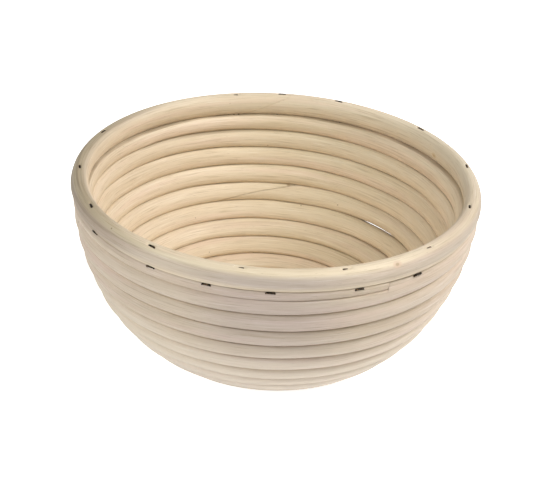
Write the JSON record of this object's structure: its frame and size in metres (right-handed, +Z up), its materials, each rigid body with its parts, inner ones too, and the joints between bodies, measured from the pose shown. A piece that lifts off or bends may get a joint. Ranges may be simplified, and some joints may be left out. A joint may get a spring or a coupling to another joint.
{
  "type": "bread proofing basket",
  "caption": "Round bread-proofing basket coiled from peeled rattan cane, with a level rim cane pinned on by small wire staples.",
  "frame": {"origin": "centre of the underside, on the table", "axes": "+Z up out of the bowl; the front of the basket, where the planed tongue of the coil ends, faces -Y; the coil climbs anticlockwise seen from above"},
  "size_m": [0.204, 0.2039, 0.0993],
  "materials": {
    "rim_cane": "satin",
    "top_turn_cane": "satin",
    "upper_wall_cane": "satin",
    "lower_wall_cane": "satin",
    "floor_cane": "matte",
    "staple_wire": "satin"
  },
  "bodies": {
    "root": {"rim_cane": "rim_cane", "levelling_cane": "top_turn_cane", "wall_cane_upper": "upper_wall_cane", "wall_cane_lower": "lower_wall_cane", "floor_cane": "floor_cane", "rim_staple_01": "staple_wire", "rim_staple_02": "staple_wire", "rim_staple_03": "staple_wire", "rim_staple_04": "staple_wire", "rim_staple_05": "staple_wire", "rim_staple_06": "staple_wire", "rim_staple_07": "staple_wire", "rim_staple_08": "staple_wire", "rim_staple_09": "staple_wire", "rim_staple_10": "staple_wire", "rim_staple_11": "staple_wire", "rim_staple_12": "staple_wire", "rim_staple_13": "staple_wire", "seam_staple_01": "staple_wire", "seam_staple_02": "staple_wire", "seam_staple_03": "staple_wire", "seam_staple_04": "staple_wire", "seam_staple_05": "staple_wire", "seam_staple_06": "staple_wire"}
  },
  "joints": []
}
